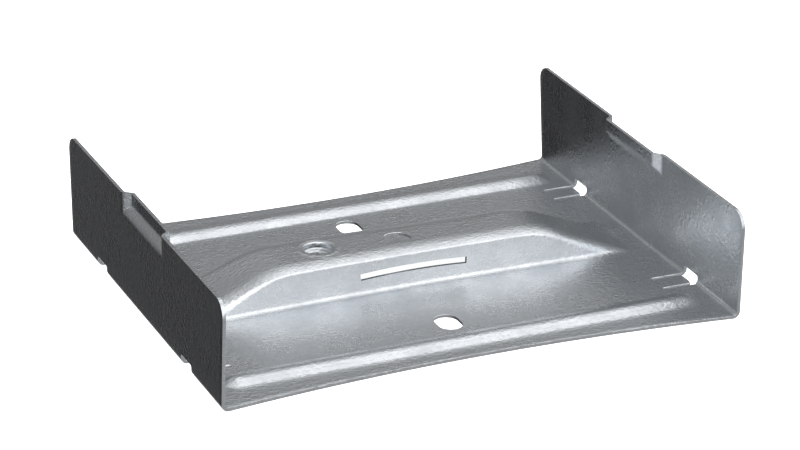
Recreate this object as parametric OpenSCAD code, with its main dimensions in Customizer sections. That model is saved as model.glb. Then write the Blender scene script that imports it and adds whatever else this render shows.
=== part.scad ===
// Splice bar: one piece of galvanised sheet steel, blanked, drawn and folded into a shallow U.
// It joins two lengths of cable tray end to end and can hang from a rod on its centre line.
// +X runs across the tray, +Y along it, +Z up. The origin is under the middle of the base.

/* [Sheet] */
// Thickness of the sheet
sheet_t = 1.25; // [0.8:0.05:1.6]
// Inner radius of the two folds
bend_r = 1.5; // [1:0.1:2.5]

/* [Channel] */
// Width over the outer faces of the two walls
bar_w = 200; // [170:1:300]
// Length of the walls where they leave the base
bar_len = 166; // [158:1:220]
// Height of the walls over the floor
wall_h = 41.5; // [32:0.5:60]
// How far each wall end leans out at the top
end_flare = 2.3; // [0.5:0.1:4]
// How far the top of each wall leans in
wall_lean = 0.5; // [0:0.1:1.2]
// Radius of the walls' top corners
corner_r = 6; // [2:0.5:10]
// How far each long edge of the base curves in at its middle
edge_bow = 6.6; // [2:0.1:7.5]

/* [Hump] */
// Width of the hump's foot in the middle
hump_w = 26.4; // [25:0.2:32]
// How much further out each side of the foot stands at the toes
foot_flare = 2.5; // [0:0.25:3]
// How much the back of the hump swells out beside the threaded hole
back_swell = 3.2; // [0:0.2:4]
// Height of the hump over the base
hump_h = 14.25; // [11:0.25:16]
// Slope of the hump's long sides
side_angle = 85; // [74:1:86]
// Slope of the two ramps at its ends
ramp_angle = 22; // [20:1:28]
// Gap from each ramp's toe to the outside of the wall
toe_gap = 9; // [7:0.5:16]
// Radius along the crest of the flat top
crest_r = 2.4; // [2.2:0.1:3.5]
// How much that radius grows as a ramp runs down
crest_grow = 6; // [3:0.5:7]
// Radius along the foot
foot_r = 1; // [0.5:0.1:1.6]
// Radius where the flat top turns into a ramp
brow_r = 43; // [25:1:55]
// Radius where a ramp runs out on the base
toe_r = 12; // [6:1:16]
// Length of the drain slot in each long side
side_slot_l = 42.5; // [25:0.5:48]
// Height of that slot
side_slot_h = 2.5; // [1.5:0.1:3.5]
// Height of the slot's middle over the base
side_slot_z = 7; // [6:0.25:8]
// Distance of the slot's middle from the plain rod hole, along the hump
side_slot_x = 1.4; // [-3:0.2:3]
// Rise of the slot's arch between its ends
side_slot_bow = 0.7; // [0.3:0.1:1.2]

/* [Rod holes] */
// Diameter of the plain hole in the middle of the hump
rod_d = 10.5; // [8.5:0.5:13]
// Core diameter of the threaded hole
thread_d = 8.4; // [6.6:0.1:9]
// Distance of the threaded hole from the plain one, along the hump
thread_x = 30.5; // [26:0.5:33]
// Distance of the threaded hole behind the centre line
thread_y = 2.8; // [0:0.2:2.8]
// Length of the drawn collar that carries the thread, under the sheet
collar_l = 4.2; // [2.6:0.2:5]
// Wall of that collar
collar_t = 1.05; // [0.8:0.05:1.3]
// Radius that leads into the threaded hole
lead_r = 2.1; // [1.4:0.1:2.3]
// Diameter of the shallow dish round it
dish_d = 16; // [15:0.2:16]
// Depth of that dish
dish_depth = 0.35; // [0.2:0.05:0.5]

/* [Beads] */
// Distance of each stiffening bead from the centre line
bead_y = 62.5; // [61:0.5:65]
// Width of a bead
bead_w = 12.4; // [9:0.2:13]
// Height of a bead
bead_h = 2.4; // [1.4:0.1:2.6]
// Gap from a bead's end to the outside of the wall
bead_gap = 6.5; // [5:0.5:12]

/* [Base slots] */
// Distance of each bolt slot from the centre line
slot_y = 47.5; // [44:0.5:49]
// Width of a bolt slot
slot_w = 9; // [6:0.5:10]
// Length of a bolt slot, along the tray
slot_l = 13; // [11:0.5:14]

/* [Snap tongues] */
// Distance of each tongue from the centre line
tongue_y = 46.8; // [42:0.2:49]
// Width of a tongue
tongue_w = 8; // [7:0.2:10]
// Length of a tongue
tongue_l = 11.3; // [8:0.1:16]
// Width of the slits beside a tongue
slit_w = 1.4; // [0.8:0.1:1.6]
// Gap from a tongue's tip to the outside of the wall
tip_gap = 3; // [3:0.25:5]
// Height over the floor of the window in front of a tongue
window_h = 4.3; // [3.8:0.1:8]
// Radius of the corners of a tongue and its window
window_r = 1; // [0.5:0.1:1.5]

/* [Wall pockets] */
// Length of the pocket pressed into the top of each wall
pocket_l = 44; // [30:1:70]
// Depth of a pocket
pocket_d = 3; // [2:0.1:4]
// Height of its upright panel
panel_h = 5; // [3:0.5:9]
// Height of the ledge under the panel
ledge_h = 3; // [2:0.25:4]
// Run of the slope at each end of a pocket
riser_run = 2.4; // [1:0.1:4]

/* [Hidden] */

// Fineness of round shapes
$fn = 96;
// Length by which cutters pass through what they cut
over = 2;

half_w = bar_w / 2;
bend_ro = bend_r + sheet_t;
fold_x = half_w - bend_ro;
lean_angle = atan(wall_lean / (wall_h - bend_ro));
wall_rise = (wall_h - bend_ro) / cos(lean_angle);

end_angle = atan(end_flare / (wall_h - bend_ro));
end_top = bar_len / 2 + end_flare;
corner_run = corner_r / tan((90 - end_angle) / 2);
edge_arc_r = (pow(fold_x, 2) + pow(edge_bow, 2)) / (2 * edge_bow);

// The hump from the side: a flat top, a brow, a ramp and a toe at each end
hump_end = half_w - toe_gap;
hump_top = sheet_t + hump_h;
brow_run = brow_r * sin(ramp_angle);
brow_drop = brow_r * (1 - cos(ramp_angle));
toe_run = toe_r * sin(ramp_angle);
toe_drop = toe_r * (1 - cos(ramp_angle));
ramp_run = (hump_h - brow_drop - toe_drop) / tan(ramp_angle);
flat_end = hump_end - brow_run - ramp_run - toe_run;
// Height at which a toe ends, and the share of a low section's height that its curves take
least_h = 0.08;
curved_share = 0.95;
flat_steps = 4;
brow_steps = 7;
ramp_steps = 4;
toe_steps = 4;
// Reach of the swell along the hump, to each side of the threaded hole
swell_reach = 45;
crest_steps = 7;
foot_steps = 3;

// Stations along half of the hump, from its middle outwards: [distance, height over the base]
half_stations = concat(
    [for (i = [0:flat_steps - 1]) [flat_end * i / flat_steps, hump_h]],
    [for (i = [0:brow_steps]) let (a = ramp_angle * i / brow_steps)
        [flat_end + brow_r * sin(a), hump_h - brow_r * (1 - cos(a))]],
    [for (i = [1:ramp_steps - 1]) let (d = ramp_run * i / ramp_steps)
        [flat_end + brow_run + d, hump_h - brow_drop - d * tan(ramp_angle)]],
    [for (i = [0:toe_steps]) let (a = ramp_angle * (1 - i / toe_steps))
        [hump_end - toe_r * sin(a), max(least_h, toe_r * (1 - cos(a)))]]);
station_n = len(half_stations);
stations = concat(
    [for (i = [station_n - 1:-1:1]) [-half_stations[i][0], half_stations[i][1]]],
    half_stations);

// Where the foot stands, how round the crest is and how steep the side is at a station
function foot_at(s) = hump_w / 2 + foot_flare * pow(s[0] / hump_end, 2);
function swell_at(s) = back_swell * exp(-pow((s[0] + thread_x) / swell_reach, 2)) * min(1, s[1] / 4);
function crest_at(s) = crest_r + crest_grow * (1 - s[1] / hump_h);
function side_at(s) = min(side_angle, acos(1 - curved_share * s[1] / (crest_at(s) + foot_r)));

function arc(y, z, r, from, to, steps) =
    [for (i = [0:steps]) let (a = from + (to - from) * i / steps) [y + r * cos(a), z + r * sin(a)]];

// One flank of the hump's section, from its foot at y up to the top, one offset g inside the sheet
function flank(s, g, y) =
    let (a = side_at(s), turn = tan(a / 2), foot = y - g * turn,
        side = foot - s[1] / tan(a), base = foot_r + g, crest = crest_at(s) - g)
    concat(
        arc(foot + base * turn, base, base, 270, 270 - a, foot_steps),
        arc(side - crest * turn, s[1] - crest, crest, 90 - a, 90, crest_steps));

// A closed ring: back flank, front flank mirrored, then two points under the foot
function ring(s, g, under) =
    let (back = flank(s, g, foot_at(s) + swell_at(s)), front = flank(s, g, foot_at(s)), n = len(front))
    concat(
        back,
        [for (i = [n - 1:-1:0]) [-front[i][0], front[i][1]]],
        [[-front[0][0], -under], [back[0][0], -under]]);

// A solid lofted along the hump through a ring at each station
module loft(g, z0, under) {
    rings = [for (s = stations) ring(s, g, under)];
    count = len(rings[0]);
    last = len(rings) - 1;
    points = [for (i = [0:last], p = rings[i]) [stations[i][0], p[0], z0 + p[1]]];
    sides = [for (i = [0:last - 1], j = [0:count - 1])
        let (k = (j + 1) % count, a = i * count + j, b = i * count + k)
        each [[a, a + count, b], [b, a + count, b + count]]];
    ends = [[for (j = [0:count - 1]) j], [for (j = [count - 1:-1:0]) last * count + j]];
    polyhedron(points, concat(sides, ends), convexity = 6);
}

// The outside of the hump, from half way down the base up
module hump_outside() {
    loft(0, sheet_t, sheet_t / 2);
}

// The hollow under it, one sheet thickness inside
module hump_hollow() {
    loft(sheet_t, 0, over);
}

// Half of the folded section: base, fold and leaning wall
module half_section() {
    square([fold_x, sheet_t]);
    translate([fold_x, bend_ro])
        intersection() {
            difference() {
                circle(bend_ro);
                circle(bend_r);
            }
            translate([0, -2 * bend_ro]) square(2 * bend_ro);
        }
    polygon([[half_w - sheet_t, bend_ro], [half_w, bend_ro], [half_w - wall_lean, wall_h],
        [half_w - sheet_t - wall_lean, wall_h]]);
}

// Outline of the walls seen from the side: ends that flare towards the top, round top corners
module wall_outline() {
    half_l = bar_len / 2;
    difference() {
        polygon([[-half_l, 0], [half_l, 0], [half_l, bend_ro], [end_top, wall_h],
            [-end_top, wall_h], [-half_l, bend_ro]]);
        for (s = [0, 1])
            mirror([s, 0])
                difference() {
                    polygon([[end_top - corner_run, wall_h], [end_top - corner_run, wall_h + over],
                        [end_top + over, wall_h + over],
                        [end_top + over, wall_h - corner_run * cos(end_angle)],
                        [end_top - corner_run * sin(end_angle), wall_h - corner_run * cos(end_angle)]]);
                    translate([end_top - corner_run, wall_h - corner_r])
                        circle(corner_r);
                }
    }
}

// The folded channel with its walls trimmed, before anything is pressed or pierced
module channel() {
    intersection() {
        rotate([90, 0, 0])
            linear_extrude(height = 2 * end_top + 2 * over, center = true)
                union() {
                    half_section();
                    mirror([1, 0]) half_section();
                }
        rotate([90, 0, 90])
            linear_extrude(height = bar_w + 2 * over, center = true)
                wall_outline();
    }
}

// What the blank's concave long edges leave out
module edge_cuts() {
    for (s = [-1, 1])
        intersection() {
            translate([0, s * (bar_len / 2 - edge_bow + edge_arc_r), -over])
                cylinder(r = edge_arc_r, h = bend_ro + over, $fn = 360);
            translate([-fold_x, s > 0 ? 0 : -bar_len, -over])
                cube([2 * fold_x, bar_len, bend_ro + over]);
        }
}

// A bar with ball ends that lies along X and cuts the base in the outline of a bead
bead_ball_r = (pow(bead_w / 2, 2) + pow(bead_h, 2)) / (2 * bead_h);
bead_axis_x = half_w - bead_gap - bead_w / 2;
module bead_bar(r) {
    rotate([0, 90, 0])
        rotate_extrude()
            intersection() {
                union() {
                    translate([0, -bead_axis_x]) square([r, 2 * bead_axis_x]);
                    for (s = [-1, 1]) translate([0, s * bead_axis_x]) circle(r);
                }
                translate([0, -half_w]) square([half_w, bar_w]);
            }
}

module bead_outside() {
    intersection() {
        translate([0, 0, sheet_t + bead_h - bead_ball_r]) bead_bar(bead_ball_r);
        translate([-half_w, -bead_w, sheet_t / 2]) cube([bar_w, 2 * bead_w, bead_h + sheet_t]);
    }
}

module bead_hollow() {
    intersection() {
        translate([0, 0, sheet_t + bead_h - bead_ball_r]) bead_bar(bead_ball_r - sheet_t);
        translate([-half_w, -bead_w, -over]) cube([bar_w, 2 * bead_w, bead_h + sheet_t + over]);
    }
}

// Carries its children to the leaning wall at side s, with X measured from its outer face
module on_wall(s) {
    mirror([s < 0 ? 1 : 0, 0, 0])
        translate([half_w, 0, bend_ro])
            rotate([0, -lean_angle, 0])
                children();
}

// The block that a pocket's punch fills, grown by g on its inner faces
module pocket_block(g) {
    run = riser_run / pocket_d;
    fall = ledge_h / pocket_d;
    deep = pocket_d + g;
    half = pocket_l / 2 + g * sqrt(1 + run * run);
    low = wall_rise - panel_h - ledge_h - g * sqrt(1 + fall * fall);
    top = wall_rise + over;
    intersection() {
        translate([0, 0, low - 2 * over])
            linear_extrude(height = top - low + 2 * over)
                polygon([[over, -half - over * run], [-deep, -half + deep * run],
                    [-deep, half - deep * run], [over, half + over * run]]);
        rotate([90, 0, 0])
            linear_extrude(height = pocket_l + 6 * over, center = true)
                polygon([[over, low - over * fall], [-deep, low + deep * fall], [-deep, top], [over, top]]);
    }
}

// The sheet that stands in behind the pocket at side s
module pocket_skin(s) {
    intersection() {
        on_wall(s) pocket_block(sheet_t);
        mirror([s < 0 ? 1 : 0, 0, 0])
            translate([0, -pocket_l, bend_ro])
                cube([half_w - wall_lean - sheet_t / 2, 2 * pocket_l, wall_h - bend_ro]);
    }
}

// Slot through the base for a tray bolt, long side along the tray
module bolt_slot() {
    run = (slot_l - slot_w) / 2;
    translate([0, 0, -over])
        linear_extrude(height = sheet_t + 2 * over)
            union() {
                translate([-slot_w / 2, -run]) square([slot_w, 2 * run]);
                for (s = [-1, 1]) translate([0, s * run]) circle(d = slot_w);
            }
}

// Slits beside one tongue and the window through the fold in front of it, at the right-hand wall
module tongue_cuts() {
    tip_x = half_w - tip_gap;
    wide = tongue_w + 2 * slit_w;
    for (s = [0, 1])
        mirror([0, s, 0])
            translate([tip_x, (tongue_w + slit_w) / 2, -over])
                linear_extrude(height = sheet_t + 2 * over)
                    union() {
                        translate([-tongue_l, 0]) circle(d = slit_w);
                        translate([-tongue_l, -slit_w / 2]) square([tongue_l + over / 2, slit_w]);
                        difference() {
                            translate([-window_r, -slit_w / 2 - window_r])
                                square([window_r + over / 2, window_r + slit_w / 2]);
                            translate([-window_r, -slit_w / 2 - window_r]) circle(window_r);
                        }
                    }
    translate([tip_x, 0, 0])
        rotate([90, 0, 90])
            linear_extrude(height = tip_gap + over)
                union() {
                    translate([-wide / 2, -over]) square([wide, over + window_h - window_r]);
                    translate([window_r - wide / 2, -over]) square([wide - 2 * window_r, over + window_h]);
                    for (s = [-1, 1])
                        translate([s * (wide / 2 - window_r), window_h - window_r]) circle(window_r);
                }
}

// Arched slot through both long sides of the hump
module side_slot() {
    r = (pow(side_slot_l / 2, 2) + pow(side_slot_bow, 2)) / (2 * side_slot_bow);
    rotate([90, 0, 0])
        linear_extrude(height = hump_w + 2 * (foot_flare + back_swell + over), center = true)
            intersection() {
                translate([side_slot_x, sheet_t + side_slot_z + side_slot_bow / 2 - side_slot_h / 2 - r])
                    difference() {
                        circle(r + side_slot_h, $fn = 360);
                        circle(r, $fn = 360);
                    }
                translate([side_slot_x - side_slot_l / 2, 0]) square([side_slot_l, hump_top]);
            }
}

// Metal drawn down round the threaded hole, measured from the hump's top
module collar() {
    r = thread_d / 2;
    rotate_extrude()
        polygon([[0, -sheet_t / 2], [dish_d / 2 - sheet_t / 2, -sheet_t / 2],
            [dish_d / 2 - sheet_t, -sheet_t - dish_depth], [r + lead_r, -sheet_t - dish_depth],
            [r + collar_t, -sheet_t - dish_depth - lead_r + collar_t],
            [r + collar_t, -sheet_t - collar_l], [0, -sheet_t - collar_l]]);
}

// The opening of the threaded hole: dished ring, lead-in radius and core
module thread_opening() {
    r = thread_d / 2;
    mouth = -dish_depth;
    rotate_extrude()
        difference() {
            polygon([[0, over], [dish_d / 2, over], [dish_d / 2, 0], [dish_d / 2 - sheet_t, mouth],
                [r + lead_r, mouth], [r + lead_r, mouth - lead_r], [r, mouth - lead_r],
                [r, -sheet_t - collar_l - over], [0, -sheet_t - collar_l - over]]);
            translate([r + lead_r, mouth - lead_r]) circle(lead_r);
        }
}

module splice_plate() {
    color([0.62, 0.64, 0.66])
        difference() {
            union() {
                difference() {
                    channel();
                    edge_cuts();
                }
                hump_outside();
                for (s = [-1, 1]) translate([0, s * bead_y, 0]) bead_outside();
                for (s = [-1, 1]) pocket_skin(s);
                translate([-thread_x, thread_y, hump_top]) collar();
            }
            difference() {
                hump_hollow();
                translate([-thread_x, thread_y, hump_top]) collar();
            }
            for (s = [-1, 1]) translate([0, s * bead_y, 0]) bead_hollow();
            for (s = [-1, 1]) on_wall(s) pocket_block(0);
            for (s = [-1, 1]) translate([0, s * slot_y, 0]) bolt_slot();
            for (sx = [0, 1], sy = [-1, 1])
                mirror([sx, 0, 0]) translate([0, sy * tongue_y, 0]) tongue_cuts();
            side_slot();
            translate([0, 0, hump_top - sheet_t - over]) cylinder(d = rod_d, h = sheet_t + 2 * over);
            translate([-thread_x, thread_y, hump_top]) thread_opening();
        }
}

splice_plate();
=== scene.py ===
"""Splice bar of galvanised sheet steel: its looks, built round the packed CAD frame.

+X runs across the tray, +Y along it and +Z up. The origin is under the middle of the base.
"""

import math

import bpy
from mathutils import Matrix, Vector


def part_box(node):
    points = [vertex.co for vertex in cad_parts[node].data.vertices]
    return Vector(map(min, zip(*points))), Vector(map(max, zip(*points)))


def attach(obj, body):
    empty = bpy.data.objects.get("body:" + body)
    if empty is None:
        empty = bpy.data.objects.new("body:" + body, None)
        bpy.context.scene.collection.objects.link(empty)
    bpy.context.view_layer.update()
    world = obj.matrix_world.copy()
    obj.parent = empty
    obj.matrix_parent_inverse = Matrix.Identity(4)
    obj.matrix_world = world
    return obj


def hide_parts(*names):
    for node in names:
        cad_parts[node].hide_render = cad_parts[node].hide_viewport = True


bl_info = {
    "name": "Splice bar",
    "version": (1, 0, 0),
    "blender": (4, 5, 0),
    "location": "3D View > Sidebar > Splice bar",
    "description": "Forms, pierces and coats a cable tray splice bar, and sets a studio round it",
    "category": "Add Mesh",
}

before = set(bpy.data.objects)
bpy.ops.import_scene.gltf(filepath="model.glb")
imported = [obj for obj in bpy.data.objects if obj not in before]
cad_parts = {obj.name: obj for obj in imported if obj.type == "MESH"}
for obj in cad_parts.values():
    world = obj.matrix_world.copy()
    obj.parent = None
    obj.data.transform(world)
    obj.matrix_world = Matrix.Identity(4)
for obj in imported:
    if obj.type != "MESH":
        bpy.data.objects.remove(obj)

MM = 0.001
PLATE_NODE = "splice_plate"
PLATE = "zinc_coated_plate"

# Brightness of the light tent by angle: 0 is level at the back, 90 overhead, 180 level at the front
# and -90 straight down. The right half has two soft strips overhead, with a dim gap between them, and
# the left half has one strip that lies further forward
TENT_RIGHT = ((-180, 1.1), (-171, 0.4), (-155, 0.35), (-130, 0.6), (-60, 0.4), (-8, 0.38),
              (2, 0.4), (10, 0.3), (16, 0.15), (24, 0.15), (28, 0.3), (34, 0.56), (44, 0.66),
              (52, 0.85), (60, 1.4), (70, 1.6), (84, 1.7), (91, 1.3), (97, 0.65), (104, 1.2),
              (112, 1.7), (140, 1.75), (160, 1.65), (170, 1.35), (180, 1.0))
TENT_LEFT = ((-180, 2.0), (-171, 0.5), (-120, 0.3), (-50, 0.08), (-30, 0.02), (-18, 0.02), (-8, 0.1),
             (2, 0.24), (14, 0.24), (24, 0.3), (32, 0.47), (48, 0.45), (64, 0.6), (92, 0.55),
             (104, 0.95), (120, 1.8), (136, 2.4), (160, 2.3), (180, 2.0))
TENT_PEAK = 2.4


def length(name, text, default):
    return bpy.props.FloatProperty(name=name, description=text, default=default * MM, unit="LENGTH",
                                   precision=5)


def angle(name, text, default):
    return bpy.props.FloatProperty(name=name, description=text, default=math.radians(default),
                                   subtype="ANGLE")


def share(name, text, default):
    return bpy.props.FloatProperty(name=name, description=text, default=default, subtype="FACTOR",
                                   min=0.0, max=1.0)


def linear(hex_code):
    """Linear colour of an sRGB hex value."""
    parts = [int(hex_code[i:i + 2], 16) / 255 for i in (1, 3, 5)]
    return [c / 12.92 if c <= 0.04045 else ((c + 0.055) / 1.055) ** 2.4 for c in parts] + [1.0]


def colour(name, text, hex_code):
    return bpy.props.FloatVectorProperty(name=name, description=text, default=linear(hex_code)[:3],
                                         subtype="COLOR", size=3, min=0.0, max=1.0)


class SheetSizes(bpy.types.PropertyGroup):
    """Sizes of the folded sheet"""
    thickness: length("Thickness", "Thickness of the sheet", 1.25)
    fold_radius: length("Fold radius", "Inner radius of the two folds", 1.5)
    width: length("Width", "Width over the outer faces of the walls", 200)
    wall_length: length("Wall length", "Length of the walls where they leave the base", 166)
    wall_height: length("Wall height", "Height of the walls over the floor", 41.5)
    end_flare: length("End flare", "How far each wall end leans out at the top", 2.3)
    wall_lean: length("Wall lean", "How far the top of each wall leans in", 0.5)
    corner_radius: length("Corner radius", "Radius of the walls' top corners", 6)
    edge_bow: length("Edge bow", "How far the base's long edges curve in", 6.6)
    rim_round: length("Rim rounding", "Rounding that the zinc leaves on the sheet's cut edges", 0.14)


class HumpSizes(bpy.types.PropertyGroup):
    """Sizes of the hump drawn up along the middle"""
    foot_width: length("Foot width", "Width of the foot in the middle", 26.4)
    foot_flare: length("Foot flare", "How much further out the foot stands at the toes", 2.5)
    back_swell: length("Back swell", "How much the back swells out beside the threaded hole", 3.2)
    swell_reach: length("Swell reach", "Reach of that swell, to each side of the hole", 45)
    height: length("Height", "Height over the base", 14.25)
    side_slope: angle("Side slope", "Slope of the long sides", 85)
    ramp_slope: angle("Ramp slope", "Slope of the ramps at both ends", 22)
    toe_gap: length("Toe gap", "Gap from each toe to the outside of the wall", 9)
    shoulder_radius: length("Shoulder radius", "Radius where the flat top starts to fall", 18)
    shoulder_slope: angle("Shoulder slope", "Slope at which the shoulder meets the crest", 20)
    crest_radius: length("Crest radius", "Radius along the crest of the flat top", 1.3)
    crest_growth: length("Crest growth", "How much the crest opens as a ramp runs down", 6)
    foot_radius: length("Foot radius", "Radius along the foot", 1.9)
    brow_radius: length("Brow radius", "Radius where the top turns into a ramp", 43)
    toe_radius: length("Toe radius", "Radius where a ramp runs out", 12)


class PressedSizes(bpy.types.PropertyGroup):
    """Sizes of the beads and of the wall pockets"""
    bead_place: length("Bead place", "Distance of a bead from the centre line", 62.5)
    bead_width: length("Bead width", "Width of the stiffening beads over their feet", 13.4)
    bead_height: length("Bead height", "Height of the beads over the base", 2)
    bead_gap: length("Bead gap", "Gap from a bead's end to the outside of the wall", 6.5)
    bead_foot: length("Bead foot", "Radius along the foot of the back bead, on the hump's side", 2.4)
    bead_shift: length("Bead shift", "How far both beads lie off their even places, to the back", 1.8)
    pocket_length: length("Pocket length", "Length of the pocket in each wall", 44)
    pocket_depth: length("Pocket depth", "Depth of a pocket", 3)
    panel_height: length("Panel height", "Height of a pocket's upright panel", 5)
    ledge_height: length("Ledge height", "Height of the ledge under the panel", 3)
    riser_run: length("Riser run", "Run of the slope at each end of a pocket", 2.4)


class OpeningSizes(bpy.types.PropertyGroup):
    """Sizes of the pierced openings"""
    rod_hole: length("Rod hole", "Diameter of the plain hole in the hump", 10.5)
    thread_core: length("Thread core", "Core diameter of the threaded hole", 8.4)
    thread_outer: length("Thread outside", "Outer diameter of the thread", 9.9)
    thread_pitch: length("Thread pitch", "Pitch of the thread", 1.5)
    thread_along: length("Thread along", "Distance of the threaded hole from the plain one", 30.5)
    thread_behind: length("Thread behind", "Distance of the threaded hole behind the centre line", 2.8)
    collar_length: length("Collar length", "Length of the drawn collar under the sheet", 4.2)
    collar_wall: length("Collar wall", "Wall of that collar", 1.9)
    funnel: length("Funnel", "Diameter of the funnel's mouth over the thread", 12)
    funnel_depth: length("Funnel depth", "Depth of that funnel", 3.4)
    lip: length("Lip", "Diameter of the low lip round the funnel", 17.6)
    lip_height: length("Lip height", "Height of that lip", 0.14)
    slot_place: length("Bolt slot place", "Distance of a bolt slot from the centre line", 47.5)
    slot_width: length("Bolt slot width", "Width of a bolt slot", 9)
    slot_length: length("Bolt slot length", "Length of a bolt slot", 13)
    tongue_place: length("Tongue place", "Distance of a tongue from the centre line", 46.8)
    tongue_width: length("Tongue width", "Width of a tongue", 8)
    tongue_length: length("Tongue length", "Length of a tongue", 11.3)
    slit: length("Slit", "Width of the slits beside a tongue", 1.4)
    tip_gap: length("Tip gap", "Gap from a tongue's tip to the outside of the wall", 3)
    window_height: length("Window height", "Height of the window in front of a tongue", 4.3)
    window_radius: length("Window radius", "Radius of the corners of a tongue and its window", 1)
    drain_length: length("Drain slot length", "Length of the slot in the hump's side", 42.5)
    drain_height: length("Drain slot height", "Height of that slot", 2.5)
    drain_middle: length("Drain slot place", "Height of the slot's middle over the base", 7)
    drain_shift: length("Drain slot shift", "Distance of its middle from the plain hole", 1.4)
    drain_bow: length("Drain slot bow", "Rise of the slot's arch", 0.7)


class ZincFinish(bpy.types.PropertyGroup):
    """Colours and scale of the zinc coating"""
    bright: colour("Bright zinc", "Colour of the brighter patches", "#D2D5D8")
    dull: colour("Dull zinc", "Colour of the duller patches", "#BEC2C6")
    crystal: length("Crystal", "Usual size of a zinc crystal, drawn coarse enough to show", 1.0)
    crystal_depth: length("Crystal depth", "How far a crystal stands out, drawn deep enough to show", 0.07)
    streak: length("Streak", "Width of the rolling streaks, drawn wide enough to show", 1.6)
    streak_depth: length("Streak depth", "Depth of the streaks, drawn deep enough to show", 0.2)
    cloud: length("Cloud", "Usual size of a cloudy patch", 16)
    wrinkle: length("Wrinkle", "Usual size of a wrinkle at the hump's toes", 1.5)
    wrinkle_depth: length("Wrinkle depth", "Depth of those wrinkles", 0.6)
    wrinkle_reach: length("Wrinkle reach", "How far the wrinkles reach from the middle of their patch", 8.5)


class Studio(bpy.types.PropertyGroup):
    """Floor, lights and camera"""
    floor_colour: colour("Floor", "Colour of the floor", "#F4F5F6")
    floor_glow: share("Floor glow", "Light that comes up through the floor", 0.85)
    lens: bpy.props.FloatProperty(name="Lens", description="Focal length on a 36 mm wide sensor",
                                  default=147.0, unit="CAMERA")
    yaw: angle("Yaw", "How far the camera looks round to the right of the tray's run", 22.96)
    pitch: angle("Pitch", "How far the camera looks down", 22.95)
    place: bpy.props.FloatVectorProperty(name="Place", description="Where the camera stands",
                                         default=(-0.43445, -1.0283, 0.4934), subtype="TRANSLATION",
                                         size=3, unit="LENGTH", precision=5)


class SpliceBarSettings(bpy.types.PropertyGroup):
    """All settings of the splice bar"""
    sheet: bpy.props.PointerProperty(type=SheetSizes, name="Sheet", description="The folded sheet")
    hump: bpy.props.PointerProperty(type=HumpSizes, name="Hump", description="The drawn hump")
    pressed: bpy.props.PointerProperty(type=PressedSizes, name="Pressed forms",
                                       description="Beads and wall pockets")
    cut: bpy.props.PointerProperty(type=OpeningSizes, name="Openings", description="Pierced openings")
    zinc: bpy.props.PointerProperty(type=ZincFinish, name="Zinc", description="The coating")
    studio: bpy.props.PointerProperty(type=Studio, name="Studio", description="Floor, lights, camera")


# How the pieces are made in Blender

def only(piece):
    """Leaves nothing but one piece selected and active."""
    bpy.ops.object.select_all(action="DESELECT")
    piece.select_set(True)
    bpy.context.view_layer.objects.active = piece


def named(name):
    piece = bpy.context.object
    piece.name = name
    piece.data.name = name
    return piece


def edit(piece, mode="VERT"):
    only(piece)
    bpy.ops.object.mode_set(mode="EDIT")
    bpy.ops.mesh.select_mode(type=mode)


def leave_edit():
    bpy.ops.object.mode_set(mode="OBJECT")


def outwards(piece):
    edit(piece)
    bpy.ops.mesh.select_all(action="SELECT")
    bpy.ops.mesh.normals_make_consistent(inside=False)
    leave_edit()


def modify(piece, kind, **settings):
    only(piece)
    modifier = piece.modifiers.new(kind.lower(), kind)
    for key, value in settings.items():
        setattr(modifier, key, value)
    bpy.ops.object.modifier_apply(modifier=modifier.name)


def combine(piece, tool, operation):
    modify(piece, "BOOLEAN", operation=operation, solver="EXACT", object=tool)
    bpy.data.objects.remove(tool)


def joined(pieces):
    bpy.ops.object.select_all(action="DESELECT")
    for piece in pieces:
        piece.select_set(True)
    bpy.context.view_layer.objects.active = pieces[0]
    bpy.ops.object.join()
    return pieces[0]


def keep_in_box(piece, box):
    """Takes off what bevels and thickness put past the CAD box, some hundredths of a millimetre."""
    for vertex in piece.data.vertices:
        vertex.co = [min(max(c, low), high) for c, low, high in zip(vertex.co, *box)]


def arc(x, y, r, start, end, steps):
    """Points along an arc, angles in degrees."""
    turns = [math.radians(start + (end - start) * i / steps) for i in range(steps + 1)]
    return [(x + r * math.cos(t), y + r * math.sin(t)) for t in turns]


def grown(outline, by):
    """An outline that runs anticlockwise, moved outwards by the same amount all round."""
    result = []
    for i, point in enumerate(outline):
        here = Vector(point)
        back = (here - Vector(outline[i - 1])).normalized()
        on = (Vector(outline[(i + 1) % len(outline)]) - here).normalized()
        out = Vector((back.y + on.y, -back.x - on.x))
        out = out / (1 + back.dot(on))
        result.append(tuple(here + out * by))
    return result


def stack(name, rings):
    """A closed solid through rings of points, from a circle that is extruded ring by ring."""
    bpy.ops.object.select_all(action="DESELECT")
    bpy.ops.mesh.primitive_circle_add(vertices=len(rings[0]), radius=MM, fill_type="NGON")
    piece = named(name)
    for _ in rings[1:]:
        edit(piece, "FACE")
        bpy.ops.mesh.extrude_region_move(TRANSFORM_OT_translate={"value": (0, 0, MM)})
        leave_edit()
    count = len(rings[0])
    levels = {}
    for vertex in piece.data.vertices:
        levels.setdefault(round(vertex.co.z / MM), []).append(vertex)
    for level, vertices in levels.items():
        order = sorted(vertices, key=lambda v: math.atan2(v.co.y, v.co.x) % math.tau)
        assert len(order) == count
        for vertex, point in zip(order, rings[level]):
            vertex.co = point
    outwards(piece)
    return piece


def turned(name, profile, centre, steps=96):
    """A turned solid: profile holds (radius, height) from the bottom up."""
    spin = [math.tau * i / steps for i in range(steps)]
    return stack(name, [[(centre[0] + r * math.cos(t), centre[1] + r * math.sin(t), z) for t in spin]
                        for r, z in profile])


def pierced(name, outline, low, high, mouth):
    """A punch along Z whose mouths open out at 45 degrees, for a sheet from low to high."""
    past = 2 * MM
    wide = grown(outline, mouth)
    rings = ((wide, low - past), (wide, low), (outline, low + mouth), (outline, high - mouth),
             (wide, high), (wide, high + past))
    return stack(name, [[(x, y, z) for x, y in line] for line, z in rings])


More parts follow.
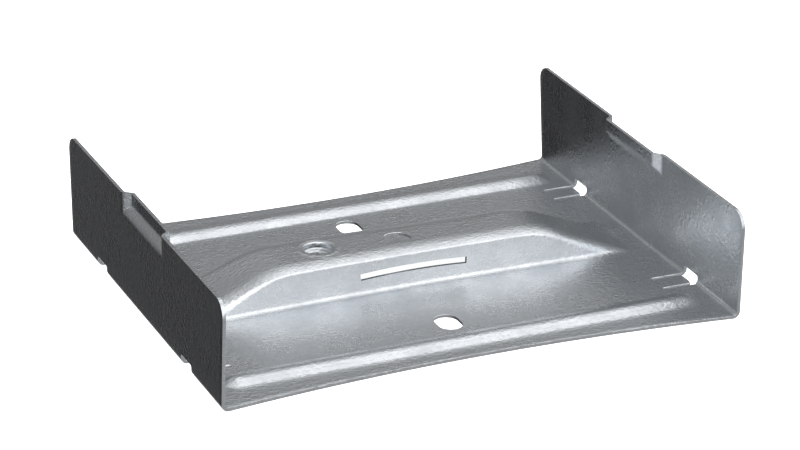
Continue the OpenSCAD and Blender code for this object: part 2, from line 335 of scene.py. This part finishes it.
# The hump, the beads and the pockets as heights over the flat sheet

class Form:
    """The formed surface of the sheet's upper side."""

    # Where there is no hump, its columns stand side by side over this width
    SPREAD = 17.3 * MM
    # The rim's columns start at this distance past a bead's place
    BEAD_BAND = 9 * MM
    # Between these two heights of the hump, its columns change over to its own curves
    FADE_LOW, FADE_HIGH = 0.6 * MM, 4 * MM
    # The back swell has its full size from this height of the hump
    SWELL_FULL = 4 * MM
    # Rounding between the faces of a wall pocket
    POCKET_SOFT = 0.9 * MM

    def __init__(self, settings):
        self.sheet, self.hump, self.pressed = settings.sheet, settings.hump, settings.pressed
        self.swell_x = -settings.cut.thread_along
        sheet, hump, pressed = self.sheet, self.hump, self.pressed
        self.half = sheet.width / 2
        self.fold_outer = sheet.fold_radius + sheet.thickness
        self.fold_x = self.half - self.fold_outer
        self.hump_end = self.half - hump.toe_gap
        self.brow_run = hump.brow_radius * math.sin(hump.ramp_slope)
        self.brow_drop = hump.brow_radius * (1 - math.cos(hump.ramp_slope))
        self.toe_run = hump.toe_radius * math.sin(hump.ramp_slope)
        toe_drop = hump.toe_radius * (1 - math.cos(hump.ramp_slope))
        self.ramp_run = (hump.height - self.brow_drop - toe_drop) / math.tan(hump.ramp_slope)
        self.flat_end = self.hump_end - self.brow_run - self.ramp_run - self.toe_run
        self.edge_radius = (self.fold_x ** 2 + sheet.edge_bow ** 2) / (2 * sheet.edge_bow)
        end_angle = math.atan(sheet.end_flare / (sheet.wall_height - self.fold_outer))
        self.end_top = sheet.wall_length / 2 + sheet.end_flare
        self.corner_y = self.end_top - sheet.corner_radius / math.tan(math.pi / 4 - end_angle / 2)
        self.corner_z = sheet.wall_height - sheet.corner_radius
        self.bead_radii = ((pressed.bead_width / 2) ** 2 + pressed.bead_height ** 2) / (
            2 * pressed.bead_height)
        self.bead_end = self.half - pressed.bead_gap - pressed.bead_width / 2

    def ridge(self, x):
        """Height of the hump's middle line."""
        hump, x = self.hump, abs(x)
        if x <= self.flat_end:
            return hump.height
        if x <= self.flat_end + self.brow_run:
            run = x - self.flat_end
            return hump.height - hump.brow_radius + math.sqrt(hump.brow_radius ** 2 - run ** 2)
        if x <= self.hump_end - self.toe_run:
            run = x - self.flat_end - self.brow_run
            return hump.height - self.brow_drop - run * math.tan(hump.ramp_slope)
        if x < self.hump_end:
            return hump.toe_radius - math.sqrt(hump.toe_radius ** 2 - (self.hump_end - x) ** 2)
        return 0.0

    def flank(self, x, back):
        """What shapes one flank at x: height, slope, radii and where its curves start."""
        hump = self.hump
        high = max(self.ridge(x), 0.0005 * MM)
        foot = hump.foot_width / 2 + hump.foot_flare * (x / self.hump_end) ** 2
        if back > 0:
            swell = hump.back_swell * math.exp(-((x - self.swell_x) / hump.swell_reach) ** 2)
            foot += swell * min(1, high / self.SWELL_FULL)
        crest = hump.crest_radius + hump.crest_growth * (1 - high / hump.height)
        slope = min(hump.side_slope, math.acos(max(-1, 1 - 0.95 * high / (crest + hump.foot_radius))))
        shoulder = max(crest, hump.shoulder_radius * high / hump.height)
        ease = min(hump.shoulder_slope, 0.4 * slope)
        foot_y = foot + hump.foot_radius * math.tan(slope / 2)
        crest_low = high - shoulder * (1 - math.cos(ease)) - crest * (math.cos(ease) - math.cos(slope))
        crest_out = foot - crest_low / math.tan(slope)
        crest_y = crest_out - crest * (math.sin(slope) - math.sin(ease))
        return {"high": high, "slope": slope, "crest": crest, "shoulder": shoulder, "ease": ease,
                "foot": foot, "foot_y": foot_y, "foot_in": foot_y - hump.foot_radius * math.sin(slope),
                "crest_out": crest_out, "crest_low": crest_low, "crest_y": crest_y,
                "top_y": crest_y - shoulder * math.sin(ease)}

    def hump_height(self, f, y):
        """Height of the hump over the base at y, for the flank f."""
        foot_r, crest, shoulder = self.hump.foot_radius, f["crest"], f["shoulder"]
        if y >= f["foot_y"]:
            return 0.0
        if y >= f["foot_in"]:
            return foot_r - math.sqrt(foot_r ** 2 - (f["foot_y"] - y) ** 2)
        if y >= f["crest_out"]:
            return (f["foot"] - y) * math.tan(f["slope"])
        if y >= f["crest_y"]:
            out = y - f["crest_y"] + crest * math.sin(f["ease"])
            return f["crest_low"] + math.sqrt(crest ** 2 - out ** 2) - crest * math.cos(f["slope"])
        if y >= f["top_y"]:
            return f["high"] - shoulder + math.sqrt(shoulder ** 2 - (y - f["top_y"]) ** 2)
        return f["high"]

    def bead_rise(self, x, y):
        """Height of a bead over the base, with soft feet but for the back bead's one towards the hump."""
        pressed, reach, high = self.pressed, self.pressed.bead_width / 2, self.pressed.bead_height
        out = abs(y - pressed.bead_shift) - pressed.bead_place
        away = math.hypot(max(abs(x) - self.bead_end, 0), out)
        if away >= reach:
            return 0.0
        soft = 0.5 + 0.5 * out / max(away, 0.001 * MM) if y > 0 else 1.0

        def rise(foot):
            ball = self.bead_radii - foot
            if away >= reach * ball / self.bead_radii:
                return foot - math.sqrt(foot ** 2 - (reach - away) ** 2)
            return high - ball + math.sqrt(ball ** 2 - away ** 2)

        return (1 - soft) * rise(pressed.bead_foot) + soft * rise(self.bead_radii / 2)

    def pocket(self, y, z):
        """How far a wall is pressed in."""
        pressed, soft = self.pressed, self.POCKET_SOFT
        top = self.sheet.wall_height
        up = (z - (top - pressed.panel_height - pressed.ledge_height)) * (
            pressed.pocket_depth / pressed.ledge_height)
        along = (pressed.pocket_length / 2 - abs(y)) * (pressed.pocket_depth / pressed.riser_run)

        def lower(a, b):
            mix = max(0.0, min(1.0, 0.5 + 0.5 * (b - a) / soft))
            return b + (a - b) * mix - soft * mix * (1 - mix)

        depth = lower(lower(up, along), pressed.pocket_depth)
        return -lower(-depth, 0.0)

    def wall_end(self, z):
        """Half length of a wall at height z."""
        sheet = self.sheet
        rise = max(z - self.fold_outer, 0) / (sheet.wall_height - self.fold_outer)
        end = sheet.wall_length / 2 + sheet.end_flare * rise
        if z > self.corner_z:
            reach = math.sqrt(max(sheet.corner_radius ** 2 - (z - self.corner_z) ** 2, 0))
            end = min(end, self.corner_y + reach)
        return end

    def base_end(self, x):
        """Half length of the base at x."""
        return (self.sheet.wall_length / 2 - self.sheet.edge_bow + self.edge_radius
                - math.sqrt(self.edge_radius ** 2 - x ** 2))

    def rows(self):
        """Lines across the half sheet, from the middle: (part of the sheet, place in it)."""
        def between(a, b, steps):
            return [a + (b - a) * i / steps for i in range(steps)]
        brow_end = self.flat_end + self.brow_run
        toe = self.hump_end - self.toe_run
        xs = between(0, self.flat_end, 8) + between(self.flat_end, brow_end, 12)
        xs += between(brow_end, toe, 9) + between(toe, self.hump_end, 8)
        xs += [self.hump_end + step * MM
               for step in (0, 0.6, 1.1, 1.6, 2.0, 2.3, 2.6, 2.9, 3.3, 4.2, 5.2)]
        xs.append(self.fold_x)
        rows = [("base", x) for x in xs]
        rows += [("fold", math.pi / 2 * i / 8) for i in range(1, 9)]
        top = self.sheet.wall_height
        ledge = top - self.pressed.panel_height - self.pressed.ledge_height
        zs = [z * MM for z in (8, 14, 20, 26, 30)]
        zs += [ledge + step * MM for step in (-1.4, -0.8, -0.4, -0.1, 0.2, 0.5, 0.9, 1.5, 2.0)]
        zs += [ledge + step * MM for step in (2.4, 2.7, 3.0)]
        zs += [self.corner_z + self.sheet.corner_radius * math.sin(math.radians(a))
               for a in (12, 17, 23, 30, 37, 45, 53, 61, 69, 76, 82, 86, 90)]
        return rows + [("wall", z) for z in zs]

    def columns(self):
        """Lines along the half sheet, from the middle: (part of the sheet, place in it)."""
        columns = [("top", i / 4) for i in range(4)] + [("shoulder", i / 5) for i in range(5)]
        columns += [("crest", i / 11) for i in range(11)]
        columns += [("side", i / 5) for i in range(5)] + [("foot", i / 5) for i in range(6)]
        ys = [18.9, 19.3, 19.7, 20.1, 20.6, 21.2, 21.7, 22.1, 22.5, 23.0, 24.0]
        ys += [27, 31, 35, 39, 43, 47, 51]
        columns += [("flat", y * MM) for y in ys]
        for step in (-8, -7.2, -6.75, -6.55, -6.35, -6.15, -5.95, -5.6, -5, -4.2, -3.3, -2.2, -1.1, 0, 1.1,
                     2.2, 3.3, 4.3, 5.1, 5.7, 6.3, 6.9, 7.5):
            columns.append(("flat", self.pressed.bead_place + step * MM))
        return columns + [("rim", i / 5) for i in range(6)]

    def point(self, row, column, side, back, spread):
        """Place of the surface where a row and a column cross, on the side and at the back where those
        are 1; spread is the column's place where there is no hump."""
        sheet = self.sheet
        part, at = row
        kind, share_of = column
        bead_side = self.pressed.bead_place + self.BEAD_BAND
        if part == "base":
            f = self.flank(side * at, back)
            own = {"top": lambda t: f["top_y"] * t,
                   "shoulder": lambda t: f["top_y"] + f["shoulder"] * math.sin(f["ease"] * t),
                   "crest": lambda t: f["crest_y"] + f["crest"] * (
                       math.sin(f["ease"] + (f["slope"] - f["ease"]) * t) - math.sin(f["ease"])),
                   "side": lambda t: f["crest_out"] + (f["foot_in"] - f["crest_out"]) * t,
                   "foot": lambda t: f["foot_y"] - self.hump.foot_radius * math.sin(f["slope"] * (1 - t))}
            end = self.base_end(at)
            if kind in own:
                share_own = (f["high"] - self.FADE_LOW) / (self.FADE_HIGH - self.FADE_LOW)
                share_own = max(0.0, min(1.0, share_own))
                blend = share_own * share_own * (3 - 2 * share_own)
                y = own[kind](share_of) * blend + spread * (1 - blend)
                return at, y, sheet.thickness + self.hump_height(f, y)
            y = share_of if kind == "flat" else bead_side + (end - bead_side) * share_of
            return at, y, sheet.thickness + self.bead_rise(at, y)
        if part == "fold":
            x = self.fold_x + sheet.fold_radius * math.sin(at)
            z = self.fold_outer - sheet.fold_radius * math.cos(at)
        else:
            z = at
            lean = sheet.wall_lean * (z - self.fold_outer) / (sheet.wall_height - self.fold_outer)
            x = self.half - sheet.thickness - lean
        if kind == "flat":
            y = share_of
        elif kind == "rim":
            y = bead_side + (self.wall_end(z) - bead_side) * share_of
        else:
            y = spread
        if part == "wall":
            x -= self.pocket(y, z)
        return x, y, z


def form_sheet(settings):
    """The formed sheet: a plane grid laid on the upper surface, given its thickness and its rim."""
    form = Form(settings)
    half_rows, half_columns = form.rows(), form.columns()
    rows = [(-1, row) for row in half_rows[:0:-1]] + [(1, row) for row in half_rows]
    columns = [(-1, j) for j in range(len(half_columns) - 1, 0, -1)]
    columns += [(1, j) for j in range(len(half_columns))]
    hump_columns = sum(kind not in ("flat", "rim") for kind, _ in half_columns)
    step = form.SPREAD / (hump_columns - 1)
    bpy.ops.object.select_all(action="DESELECT")
    bpy.ops.mesh.primitive_grid_add(x_subdivisions=len(rows) - 1, y_subdivisions=len(columns) - 1,
                                    size=2)
    plate = named(PLATE)
    for vertex in plate.data.vertices:
        i = round((vertex.co.x + 1) / 2 * (len(rows) - 1))
        j = round((vertex.co.y + 1) / 2 * (len(columns) - 1))
        side, row = rows[i]
        back, j = columns[j]
        x, y, z = form.point(row, half_columns[j], side, back, j * step)
        vertex.co = (side * x, back * y, z)
    modify(plate, "SOLIDIFY", thickness=settings.sheet.thickness, offset=-1, use_even_offset=True,
           use_quality_normals=True)
    modify(plate, "BEVEL", width=settings.sheet.rim_round, segments=2, limit_method="ANGLE",
           angle_limit=math.radians(60))
    return plate


def draw_collar(plate, settings):
    """Metal that is drawn down round the threaded hole, and the low lip that this leaves on top."""
    cut, sheet, hump = settings.cut, settings.sheet, settings.hump
    top = sheet.thickness + hump.height
    under = top - sheet.thickness
    core, funnel, lip, rise = cut.thread_core / 2, cut.funnel / 2, cut.lip / 2, cut.lip_height
    outside = core + cut.collar_wall
    end = under - cut.collar_length
    profile = [(outside - 0.3 * MM, end), (outside, end + 0.3 * MM),
               (outside, under - 1.3 * MM), (outside + 0.4 * MM, under - 0.6 * MM),
               (funnel + 1 * MM, under - 0.1 * MM), (lip - 0.8 * MM, under + 0.4 * MM)]
    profile += [(lip - (lip - funnel) * i / 10, top - 0.02 * MM + rise * math.sin(math.pi * i / 10) ** 2)
                for i in range(10)]
    profile.append((funnel - 0.3 * MM, top))
    boss = turned("collar", profile, (-cut.thread_along, cut.thread_behind))
    combine(plate, boss, "UNION")


def thread_rod(cut, centre, low, high):
    """A threaded rod: one pitch of the thread turned and raised, cut flat at both ends."""
    core, outer, pitch = cut.thread_core / 2 - 0.05 * MM, cut.thread_outer / 2, cut.thread_pitch
    line = [(core, 0), (outer, 0.44), (outer, 0.56), (core, 1)]
    bpy.ops.object.select_all(action="DESELECT")
    bpy.ops.mesh.primitive_circle_add(vertices=len(line), radius=MM)
    rod = named("thread_rod")
    for vertex, (r, rise) in zip(rod.data.vertices, line):
        vertex.co = (r, 0, low - 2 * pitch + rise * pitch)
    edit(rod, "EDGE")
    bpy.ops.mesh.select_all(action="DESELECT")
    leave_edit()
    for line_edge in rod.data.edges:
        line_edge.select = set(line_edge.vertices) == {0, len(line) - 1}
    edit(rod, "EDGE")
    bpy.ops.mesh.delete(type="EDGE")
    leave_edit()
    turns = math.ceil((high - low) / pitch) + 4
    modify(rod, "SCREW", angle=math.tau, screw_offset=pitch, iterations=turns, steps=48,
           render_steps=48, use_merge_vertices=False)
    edit(rod)
    bpy.ops.mesh.select_all(action="SELECT")
    bpy.ops.mesh.remove_doubles(threshold=0.001 * MM)
    for height, keep in ((low, "clear_inner"), (high, "clear_outer")):
        bpy.ops.mesh.select_all(action="SELECT")
        bpy.ops.mesh.bisect(plane_co=(0, 0, height), plane_no=(0, 0, 1), use_fill=True, **{keep: True})
    leave_edit()
    for vertex in rod.data.vertices:
        vertex.co.x += centre[0]
        vertex.co.y += centre[1]
    outwards(rod)
    return rod


def thread_punch(settings):
    """Funnel, core and thread of the threaded hole in one tool."""
    cut, sheet, hump = settings.cut, settings.sheet, settings.hump
    top = sheet.thickness + hump.height
    core, mouth, deep = cut.thread_core / 2, cut.funnel / 2, cut.funnel_depth
    centre = (-cut.thread_along, cut.thread_behind)
    low = top - sheet.thickness - cut.collar_length - 1 * MM
    bottom, wall = top - deep, mouth - 0.5 * MM
    profile = [(core, low), (core, bottom), (core + 0.3 * MM, bottom + 0.3 * MM),
               (wall - 0.5 * MM, bottom + 0.7 * MM), (wall, bottom + 1.2 * MM), (wall, top - 0.5 * MM),
               (wall + 0.1 * MM, top - 0.25 * MM), (wall + 0.25 * MM, top - 0.08 * MM),
               (mouth, top + 0.03 * MM), (mouth + 0.3 * MM, top + 1 * MM)]
    opening = turned("thread_opening", profile, centre)
    combine(opening, thread_rod(cut, centre, low - 0.5 * MM, top - deep * 0.75), "UNION")
    return opening


def slot_outline(x, y, width, run):
    """A slot with round ends, long side along Y."""
    r, half = width / 2, (run - width) / 2
    return arc(x, y + half, r, 0, 180, 20) + arc(x, y - half, r, 180, 360, 20)


def openings(settings):
    """All the punches, as one tool."""
    cut, sheet, hump = settings.cut, settings.sheet, settings.hump
    half, t, mouth, slit_mouth = sheet.width / 2, sheet.thickness, 0.16 * MM, 0.3 * MM
    top = t + hump.height
    punches = [thread_punch(settings)]
    punches.append(pierced("rod_hole", arc(0, 0, cut.rod_hole / 2, 0, 360 - 360 / 96, 95), top - t, top,
                           mouth))
    for side in (-1, 1):
        punches.append(pierced("bolt_slot", slot_outline(0, side * cut.slot_place, cut.slot_width,
                                                         cut.slot_length), 0, t, mouth))
    tip = half - cut.tip_gap
    r, corner = cut.slit / 2, cut.window_radius
    wide = cut.tongue_width / 2 + cut.slit
    across_tip = tip + 0.8 * MM
    line = cut.tongue_width / 2 + r
    slit_line = arc(tip - cut.tongue_length, line, r, 90, 270, 10)
    slit_line += [(x, y) for x, y in arc(tip - corner, line - r - corner, corner, 90, 0, 6)]
    slit_line += [(across_tip, line - r - corner), (across_tip, line + r)]
    window = [(-wide, -3 * MM), (wide, -3 * MM)]
    window += arc(wide - corner, cut.window_height - corner, corner, 0, 90, 6)
    window += arc(corner - wide, cut.window_height - corner, corner, 90, 180, 6)
    for across in (-1, 1):
        for along in (-1, 1):
            place = along * cut.tongue_place
            block = stack("window", [[(across * x, place + y, z) for y, z in window]
                                     for x in (tip, half + 1 * MM)])
            for side in (-1, 1):
                outline = [(across * x, place + side * y) for x, y in slit_line]
                if across * side < 0:
                    outline = outline[::-1]
                combine(block, pierced("slit", outline, 0, t, slit_mouth), "UNION")
            punches.append(block)
    r = ((cut.drain_length / 2) ** 2 + cut.drain_bow ** 2) / (2 * cut.drain_bow)
    sweep = math.degrees(math.asin(cut.drain_length / 2 / (r + cut.drain_height / 2)))
    centre_z = t + cut.drain_middle + cut.drain_bow / 2 - cut.drain_height / 2 - r
    x = cut.drain_shift
    drain = arc(x, centre_z, r, 90 + sweep, 90 - sweep, 40)
    drain += arc(x, centre_z, r + cut.drain_height, 90 - sweep, 90 + sweep, 40)
    punches.append(stack("drain_slot", [[(x, y, z) for x, z in drain]
                                        for y in (-hump.foot_width, hump.foot_width)]))
    return joined(punches)


# The coating

def add(tree, kind, settings=None, links=None):
    """Adds a node with its settings and the links that come into it."""
    node = tree.nodes.new(kind)
    for key, value in (settings or {}).items():
        if isinstance(key, int) or key in node.inputs:
            node.inputs[key].default_value = value
        else:
            setattr(node, key, value)
    for socket, source in (links or {}).items():
        tree.links.new(source, node.inputs[socket])
    return node


def ramp(node, stops):
    """Sets the stops of a colour ramp: (place, brightness) or (place, colour)."""
    elements = node.color_ramp.elements
    while len(elements) < len(stops):
        elements.new(0.5)
    for element, (place, value) in zip(elements, stops):
        element.position = place
        element.color = value if hasattr(value, "__len__") else (value, value, value, 1)
    return node


def near(tree, place, spots, reach):
    """1 at the spots, falling to 0 at their reach."""
    total = None
    for spot in spots:
        away = add(tree, "ShaderNodeVectorMath", {"operation": "DISTANCE", 1: spot}, {0: place})
        mask = add(tree, "ShaderNodeMapRange", {"From Min": 0.0, "From Max": reach, "To Min": 1.0,
                                                "To Max": 0.0, "interpolation_type": "SMOOTHSTEP"},
                   {"Value": away.outputs["Value"]})
        if total is None:
            total = mask
        else:
            total = add(tree, "ShaderNodeMath", {"operation": "ADD", "use_clamp": True},
                        {0: total.outputs[0], 1: mask.outputs[0]})
    return total.outputs[0]


def galvanised_steel(zinc, toes):
    """Hot-dip zinc on cold rolled sheet: a grey metal whose crystals stand out a little, so that a
    dark reflection is finely mottled and a bright one stays smooth, with slow clouds where the bath
    ran off, faint streaks along the tray's width and small wrinkles in patches at the hump's toes."""
    material = bpy.data.materials.new("galvanised_steel")
    material.use_nodes = True
    tree = material.node_tree
    tree.nodes.clear()
    place = add(tree, "ShaderNodeTexCoord").outputs["Object"]
    along = add(tree, "ShaderNodeMapping", {"Scale": (0.7, 1.0, 1.0)}, {"Vector": place})
    clouds = add(tree, "ShaderNodeTexNoise", {"Scale": 1 / zinc.cloud, "Detail": 4.0, "Roughness": 0.6},
                 {"Vector": place})
    streaks = add(tree, "ShaderNodeTexNoise", {"Scale": 1 / zinc.streak, "Detail": 3.0, "Roughness": 0.6},
                  {"Vector": along.outputs["Vector"]})
    tone = add(tree, "ShaderNodeMath", {"operation": "MULTIPLY_ADD", 1: 0.45},
               {0: streaks.outputs["Fac"], 2: clouds.outputs["Fac"]})
    paint = ramp(add(tree, "ShaderNodeValToRGB", None, {"Fac": tone.outputs[0]}),
                 [(0.5, (*zinc.dull, 1)), (0.95, (*zinc.bright, 1))])
    rough = add(tree, "ShaderNodeMapRange", {"From Min": 0.5, "From Max": 0.95, "To Min": 0.34,
                                             "To Max": 0.23}, {"Value": tone.outputs[0]})
    crystals = add(tree, "ShaderNodeTexVoronoi", {"Scale": 1 / zinc.crystal, "Randomness": 1.0},
                   {"Vector": along.outputs["Vector"]})
    wrinkles = add(tree, "ShaderNodeTexNoise", {"Scale": 1 / zinc.wrinkle, "Detail": 2.0,
                                                "Roughness": 0.5}, {"Vector": place})
    folded = add(tree, "ShaderNodeMath", {"operation": "MULTIPLY"},
                 {0: wrinkles.outputs["Fac"], 1: near(tree, place, toes, zinc.wrinkle_reach)})
    normal = None
    for height, depth in ((streaks.outputs["Fac"], zinc.streak_depth),
                          (crystals.outputs["Distance"], zinc.crystal_depth),
                          (folded.outputs[0], zinc.wrinkle_depth)):
        links = {"Height": height, "Normal": normal} if normal else {"Height": height}
        normal = add(tree, "ShaderNodeBump", {"Strength": 1.0, "Distance": depth}, links).outputs["Normal"]
    shader = add(tree, "ShaderNodeBsdfPrincipled", {"Metallic": 1.0},
                 {"Base Color": paint.outputs["Color"], "Roughness": rough.outputs["Result"],
                  "Normal": normal})
    add(tree, "ShaderNodeOutputMaterial", None, {"Surface": shader.outputs["BSDF"]})
    return material


def floor_paint(studio):
    """Matt white laminate: even and without gloss, so the eye rests on the bar."""
    material = bpy.data.materials.new("matt_white_floor")
    material.use_nodes = True
    tree = material.node_tree
    tree.nodes.clear()
    place = add(tree, "ShaderNodeTexCoord").outputs["Object"]
    grain = add(tree, "ShaderNodeTexNoise", {"Scale": 1 / (2 * MM), "Detail": 2.0}, {"Vector": place})
    tint = [c * 0.985 for c in studio.floor_colour]
    paint = ramp(add(tree, "ShaderNodeValToRGB", None, {"Fac": grain.outputs["Fac"]}),
                 [(0.3, (*tint, 1)), (0.7, (*studio.floor_colour, 1))])
    shader = add(tree, "ShaderNodeBsdfPrincipled", {"Roughness": 0.8, "Specular IOR Level": 0.2,
                                                   "Emission Color": (1, 1, 1, 1),
                                                   "Emission Strength": studio.floor_glow},
                 {"Base Color": paint.outputs["Color"]})
    add(tree, "ShaderNodeOutputMaterial", None, {"Surface": shader.outputs["BSDF"]})
    return material


# The studio

def soft_box(name, place, aim, size, power):
    """A large soft light that faces a point."""
    bpy.ops.object.select_all(action="DESELECT")
    bpy.ops.object.light_add(type="AREA", location=place)
    lamp = bpy.context.object
    lamp.name = name
    lamp.data.name = name
    lamp.data.shape = "RECTANGLE"
    lamp.data.size, lamp.data.size_y = size
    lamp.data.energy = power
    lamp.rotation_euler = (Vector(aim) - Vector(place)).to_track_quat("-Z", "Y").to_euler()
    return lamp


def studio_world():
    """A light tent round the X axis: dim low at the back, brighter overhead and at the front."""
    world = bpy.data.worlds.new("studio")
    bpy.context.scene.world = world
    world.use_nodes = True
    tree = world.node_tree
    tree.nodes.clear()
    way = add(tree, "ShaderNodeTexCoord").outputs["Generated"]
    parts = add(tree, "ShaderNodeSeparateXYZ", None, {"Vector": way})
    round_x = add(tree, "ShaderNodeMath", {"operation": "ARCTAN2"},
                  {0: parts.outputs["Z"], 1: parts.outputs["Y"]})
    turn = add(tree, "ShaderNodeMapRange", {"From Min": -math.pi, "From Max": math.pi},
               {"Value": round_x.outputs[0]})
    halves = [ramp(add(tree, "ShaderNodeValToRGB", None, {"Fac": turn.outputs["Result"]}),
                   [((degrees + 180) / 360, value / TENT_PEAK) for degrees, value in stops])
              for stops in (TENT_LEFT, TENT_RIGHT)]
    rightwards = add(tree, "ShaderNodeMapRange", {"From Min": -0.35, "From Max": 0.2,
                                                  "interpolation_type": "SMOOTHSTEP"},
                     {"Value": parts.outputs["X"]})
    both = add(tree, "ShaderNodeMix", {"data_type": "RGBA"})
    tree.links.new(rightwards.outputs["Result"], both.inputs[0])
    tree.links.new(halves[0].outputs["Color"], both.inputs[6])
    tree.links.new(halves[1].outputs["Color"], both.inputs[7])
    light = add(tree, "ShaderNodeBackground", {"Strength": TENT_PEAK}, {"Color": both.outputs[2]})
    add(tree, "ShaderNodeOutputWorld", None, {"Surface": light.outputs["Background"]})


def set_stage(studio):
    bpy.ops.object.select_all(action="DESELECT")
    bpy.ops.mesh.primitive_plane_add(size=6, location=(0, 0, 0))
    floor = named("studio_floor")
    floor.data.materials.append(floor_paint(studio))
    floor.visible_glossy = False
    studio_world()
    ceiling = soft_box("ceiling_box", (0.2, 0.5, 1.5), (0, 0, 0), (1.6, 0.9), 6)
    ceiling.visible_glossy = False
    camera_data = bpy.data.cameras.new("camera")
    camera_data.sensor_fit = "HORIZONTAL"
    camera_data.sensor_width = 36
    camera_data.lens = studio.lens
    camera_data.clip_start, camera_data.clip_end = 0.05, 20
    camera = bpy.data.objects.new("camera", camera_data)
    bpy.context.scene.collection.objects.link(camera)
    camera.location = studio.place
    camera.rotation_euler = (math.pi / 2 - studio.pitch, 0, -studio.yaw)
    bpy.context.scene.camera = camera
    bpy.context.scene.view_settings.view_transform = "Standard"


class SPLICEBAR_OT_plate(bpy.types.Operator):
    """Forms the sheet, draws the collar, pierces the openings and coats the plate"""
    bl_idname = "splicebar.plate"
    bl_label = "Make the plate"

    def execute(self, context):
        settings = context.scene.splice_bar
        plate = form_sheet(settings)
        draw_collar(plate, settings)
        combine(plate, openings(settings), "DIFFERENCE")
        keep_in_box(plate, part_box(PLATE_NODE))
        only(plate)
        bpy.ops.object.shade_smooth_by_angle(angle=math.radians(32))
        plate.data.materials.clear()
        toe, behind = settings.sheet.width / 2 - settings.hump.toe_gap, 6 * MM
        toes = ((behind - toe, behind, 4 * MM), (toe, behind, settings.sheet.thickness))
        plate.data.materials.append(galvanised_steel(settings.zinc, toes))
        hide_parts(PLATE_NODE)
        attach(plate, "root")
        return {"FINISHED"}


class SPLICEBAR_OT_stage(bpy.types.Operator):
    """Sets the floor, the lights and the camera"""
    bl_idname = "splicebar.stage"
    bl_label = "Set the stage"

    def execute(self, context):
        set_stage(context.scene.splice_bar.studio)
        return {"FINISHED"}


class SPLICEBAR_PT_tools(bpy.types.Panel):
    """Buttons and sizes of the splice bar"""
    bl_idname = "SPLICEBAR_PT_tools"
    bl_label = "Splice bar"
    bl_space_type = "VIEW_3D"
    bl_region_type = "UI"
    bl_category = "Splice bar"

    def draw(self, context):
        settings = context.scene.splice_bar
        for operator in (SPLICEBAR_OT_plate, SPLICEBAR_OT_stage):
            self.layout.operator(operator.bl_idname)
        for group in ("sheet", "hump", "pressed", "cut", "zinc", "studio"):
            box = self.layout.box()
            values = getattr(settings, group)
            box.label(text=type(values).__doc__)
            for name in type(values).__annotations__:
                box.prop(values, name)


CLASSES = (SheetSizes, HumpSizes, PressedSizes, OpeningSizes, ZincFinish, Studio, SpliceBarSettings,
           SPLICEBAR_OT_plate, SPLICEBAR_OT_stage, SPLICEBAR_PT_tools)


def register():
    for cls in CLASSES:
        bpy.utils.register_class(cls)
    bpy.types.Scene.splice_bar = bpy.props.PointerProperty(
        type=SpliceBarSettings, name="Splice bar", description="All settings of the splice bar")


def unregister():
    del bpy.types.Scene.splice_bar
    for cls in reversed(CLASSES):
        bpy.utils.unregister_class(cls)


def main():
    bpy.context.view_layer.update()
    register()
    bpy.ops.splicebar.plate()
    bpy.ops.splicebar.stage()
    bpy.context.view_layer.update()


if __name__ == "__main__":
    main()
